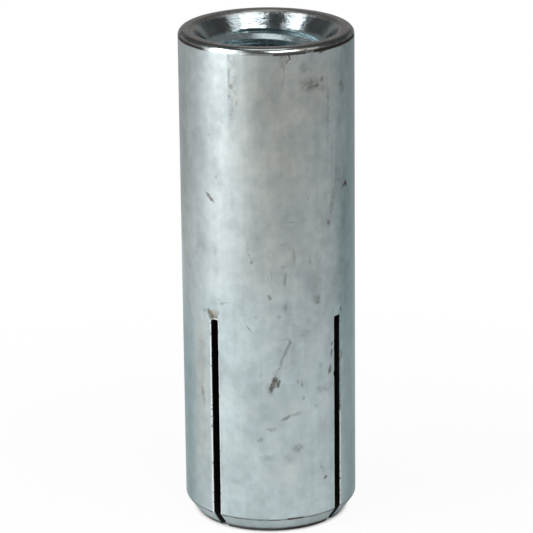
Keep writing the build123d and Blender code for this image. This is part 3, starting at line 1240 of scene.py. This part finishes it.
class ANCHOR_OT_shell(bpy.types.Operator):
    """Build the slotted, threaded shell"""

    bl_idname = "anchor.shell"
    bl_label = "Shell"

    def execute(self, context):
        """Makes the mesh, presses the marks into it and gives each stretch its finish."""
        sizes = context.scene.anchor_sizes
        finish = context.scene.zinc_finish
        mesh = build_shell_mesh(sizes)
        bevel_slots(mesh, sizes)
        press_marks(mesh)
        part_finishes(mesh)
        shade_by_angle(mesh, sharpest=28)
        piece = new_piece("shell_visual", mesh)
        middle = BODY_LENGTH / MM / 2
        finishes = [
            outside_finish(finish, sizes, "zinc_fingers", 0, middle),
            mouth_finish(finish, sizes),
            cut_finish(finish, sizes),
            bore_finish(finish, sizes),
            edge_finish(finish),
            outside_finish(finish, sizes, "zinc_body", middle, 2 * middle),
        ]
        for material in finishes:
            mesh.materials.append(material)
        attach(piece, "shell")
        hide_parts("shell")
        return {"FINISHED"}


class ANCHOR_OT_plug(bpy.types.Operator):
    """Finish the expander plug"""

    bl_idname = "anchor.plug"
    bl_label = "Expander plug"

    def execute(self, context):
        """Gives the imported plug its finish."""
        plug = frame["nodes"]["expander_plug"]
        plug.data.materials.clear()
        plug.data.materials.append(plug_finish(context.scene.zinc_finish))
        return {"FINISHED"}


class ANCHOR_OT_studio(bpy.types.Operator):
    """Build the floor, the lamps and the camera"""

    bl_idname = "anchor.studio"
    bl_label = "Studio"

    def execute(self, context):
        """Makes the floor, the room, the lamps and the camera, and sets how the picture is shown."""
        setup = context.scene.studio_setup
        middle = Vector((0, 0, BODY_LENGTH / 2))
        build_floor(setup)
        build_world(setup)
        build_lamps(setup, middle)
        build_camera(setup, middle)
        context.scene.view_settings.view_transform = "Standard"
        return {"FINISHED"}


def towards(azimuth, elevation):
    """The direction from the anchor to something at that azimuth, from -Y towards +X, and elevation."""
    level = math.cos(elevation)
    return Vector((math.sin(azimuth) * level, -math.cos(azimuth) * level, math.sin(elevation)))


# Width of the camera's sensor in millimetres, and how far the picture's middle lies off the camera's axis
SENSOR_WIDTH = 36
PICTURE_SHIFT = (-0.00387, 0.0076)


def build_camera(setup, middle):
    """A camera that looks at the anchor's middle from the direction that the studio gives."""
    back = towards(setup.azimuth, setup.elevation)
    lens = bpy.data.cameras.new("camera")
    lens.sensor_width = SENSOR_WIDTH
    lens.lens = SENSOR_WIDTH * setup.focal_share
    lens.shift_x, lens.shift_y = PICTURE_SHIFT
    lens.clip_start = 0.01
    camera = bpy.data.objects.new("camera", lens)
    camera.rotation_mode = "QUATERNION"
    look = (-back).to_track_quat("-Z", "Y").to_matrix()
    camera.rotation_quaternion = (look @ Matrix.Rotation(-setup.roll, 3, "Z")).to_quaternion()
    camera.location = middle + back * setup.distance
    bpy.context.scene.collection.objects.link(camera)
    bpy.context.scene.camera = camera


def build_floor(setup):
    """A round floor whose far edge curves up into a low wall, so that no horizon shows."""
    flat_radius, wall_radius, wall_top = 1.2, 0.2, 0.5
    below_toe = 0.02 * MM
    outline = [(radius, 0) for radius in (0.02, 0.06, 0.12, 0.25, 0.5, 0.8, flat_radius)]
    for step in range(1, 9):
        turn = math.radians(90) * step / 8
        outline.append((flat_radius + wall_radius * math.sin(turn), wall_radius * (1 - math.cos(turn))))
    outline.append((flat_radius + wall_radius, wall_top))
    draft = Draft()
    turned = np.linspace(0, 2 * math.pi, 96, endpoint=False)
    rows = []
    for radius, height in outline:
        level = np.full(len(turned), height - below_toe)
        rows.append(draft.row(np.stack([radius * np.cos(turned), radius * np.sin(turned), level], -1)))
    draft.face(list(rows[0]), 0)
    for inner, outer in zip(rows, rows[1:]):
        draft.skin(outer, inner, 0)
    mesh = draft.mesh("floor")
    if mesh.polygons[0].normal.z < 0:
        mesh.flip_normals()
    mesh.shade_smooth()
    floor = new_piece("floor", mesh)
    mesh.materials.append(floor_finish(setup))


def floor_finish(setup):
    """Plain matt white, with a share of pure white in what the camera and the metal see.

    The floor's underside is clear, and so is the patch that the toe stands on, so that the toe isn't black.
    """
    graph = Graph(bpy.data.materials.new("floor"))
    x, y, _ = graph.parts(graph.place())
    away = (x * x + y * y).root()
    far = away.step(14, 90)
    clear_of_anchor = away.step(9.0, 10.2)
    seen = graph.node("ShaderNodeLightPath", output="Is Camera Ray")
    mirrored = seen.out("Is Glossy Ray") + seen.out("Is Transmission Ray")
    white_share = seen * (setup.white_share + far * (1 - setup.white_share))
    share = (white_share + mirrored * setup.mirrored_share) * clear_of_anchor
    matt = graph.node("ShaderNodeBsdfDiffuse", None, {"Color": (*setup.floor, 1)})
    white = graph.node("ShaderNodeEmission", None, {"Strength": 1.0})
    top = graph.node("ShaderNodeMixShader", None, {0: share, 1: matt, 2: white})
    clear = graph.node("ShaderNodeBsdfTransparent")
    under = graph.node("ShaderNodeNewGeometry", output="Backfacing")
    below_anchor = away.step(9.5, 9.3) * (1 - seen)
    both = graph.node("ShaderNodeMixShader", None, {0: under | below_anchor, 1: top, 2: clear})
    graph.node("ShaderNodeOutputMaterial", None, {"Surface": both})
    return graph.owner


def build_world(setup):
    """A plain grey room, a little brighter at the horizon than overhead."""
    graph = Graph(bpy.data.worlds.new("studio"))
    direction = graph.node("ShaderNodeTexCoord", output="Generated")
    overhead = graph.height(direction).step(0.25, 0.8)
    room = setup.horizon + overhead * (setup.ceiling - setup.horizon)
    light = graph.node("ShaderNodeBackground", None, {"Color": (1, 1, 1, 1), "Strength": room})
    graph.node("ShaderNodeOutputWorld", None, {"Surface": light})
    bpy.context.scene.world = graph.owner


# Lamps: degrees round from the camera, degrees above the horizon, distance, width and height in metres,
# and brightness, where 1 is white
LAMPS = {
    "left_panel": (-60, 18, 0.25, 0.14, 0.18, 4.7),
    "left_front_wing": (-38, 18, 0.25, 0.10, 0.18, 1.15),
    "left_side_wing": (-84, 18, 0.25, 0.12, 0.18, 0.4),
    "left_high_box": (-65, 46, 0.28, 0.125, 0.13, 4.9),
    "right_box": (30, 54, 0.30, 0.16, 0.12, 5.1),
    "right_wing": (64, 47, 0.30, 0.11, 0.12, 2.4),
    "back_box": (180, 80, 0.30, 0.11, 0.12, 1.4),
}


def build_lamps(setup, middle):
    """Soft panels that the camera doesn't see."""
    for name, (azimuth, elevation, distance, width, height, brightness) in LAMPS.items():
        lamp = bpy.data.lights.new(name, "AREA")
        lamp.shape = "RECTANGLE"
        lamp.size = width
        lamp.size_y = height
        lamp.energy = brightness * math.pi * width * height
        place = bpy.data.objects.new(name, lamp)
        back = towards(setup.azimuth + math.radians(azimuth), math.radians(elevation))
        place.rotation_mode = "QUATERNION"
        place.location = middle + back * distance
        place.rotation_quaternion = (-back).to_track_quat("-Z", "Y")
        place.visible_camera = False
        bpy.context.scene.collection.objects.link(place)


class ANCHOR_PT_panel(bpy.types.Panel):
    """The anchor's pieces and studio"""

    bl_idname = "ANCHOR_PT_panel"
    bl_label = "Drop-in anchor"
    bl_space_type = "VIEW_3D"
    bl_region_type = "UI"
    bl_category = "Anchor"

    def draw(self, context):
        """Lists the sizes, colours and studio settings, and a button for each operator."""
        layout = self.layout
        for group in (context.scene.anchor_sizes, context.scene.zinc_finish, context.scene.studio_setup):
            box = layout.box()
            for name in group.__annotations__:
                box.prop(group, name)
        for operator in OPERATORS:
            layout.operator(operator.bl_idname)


OPERATORS = (ANCHOR_OT_shell, ANCHOR_OT_plug, ANCHOR_OT_studio)
CLASSES = (AnchorSizes, ZincFinish, StudioSetup, *OPERATORS, ANCHOR_PT_panel)


def register():
    """Adds the add-on's classes and settings to Blender."""
    for each in CLASSES:
        bpy.utils.register_class(each)
    bpy.types.Scene.anchor_sizes = bpy.props.PointerProperty(type=AnchorSizes)
    bpy.types.Scene.zinc_finish = bpy.props.PointerProperty(type=ZincFinish)
    bpy.types.Scene.studio_setup = bpy.props.PointerProperty(type=StudioSetup)


def unregister():
    """Takes the add-on's settings and classes out of Blender."""
    for name in ("anchor_sizes", "zinc_finish", "studio_setup"):
        delattr(bpy.types.Scene, name)
    for each in reversed(CLASSES):
        bpy.utils.unregister_class(each)


def main():
    """Builds the anchor and its studio."""
    register()
    bpy.ops.anchor.shell()
    bpy.ops.anchor.plug()
    bpy.ops.anchor.studio()


if __name__ == "__main__":
    main()
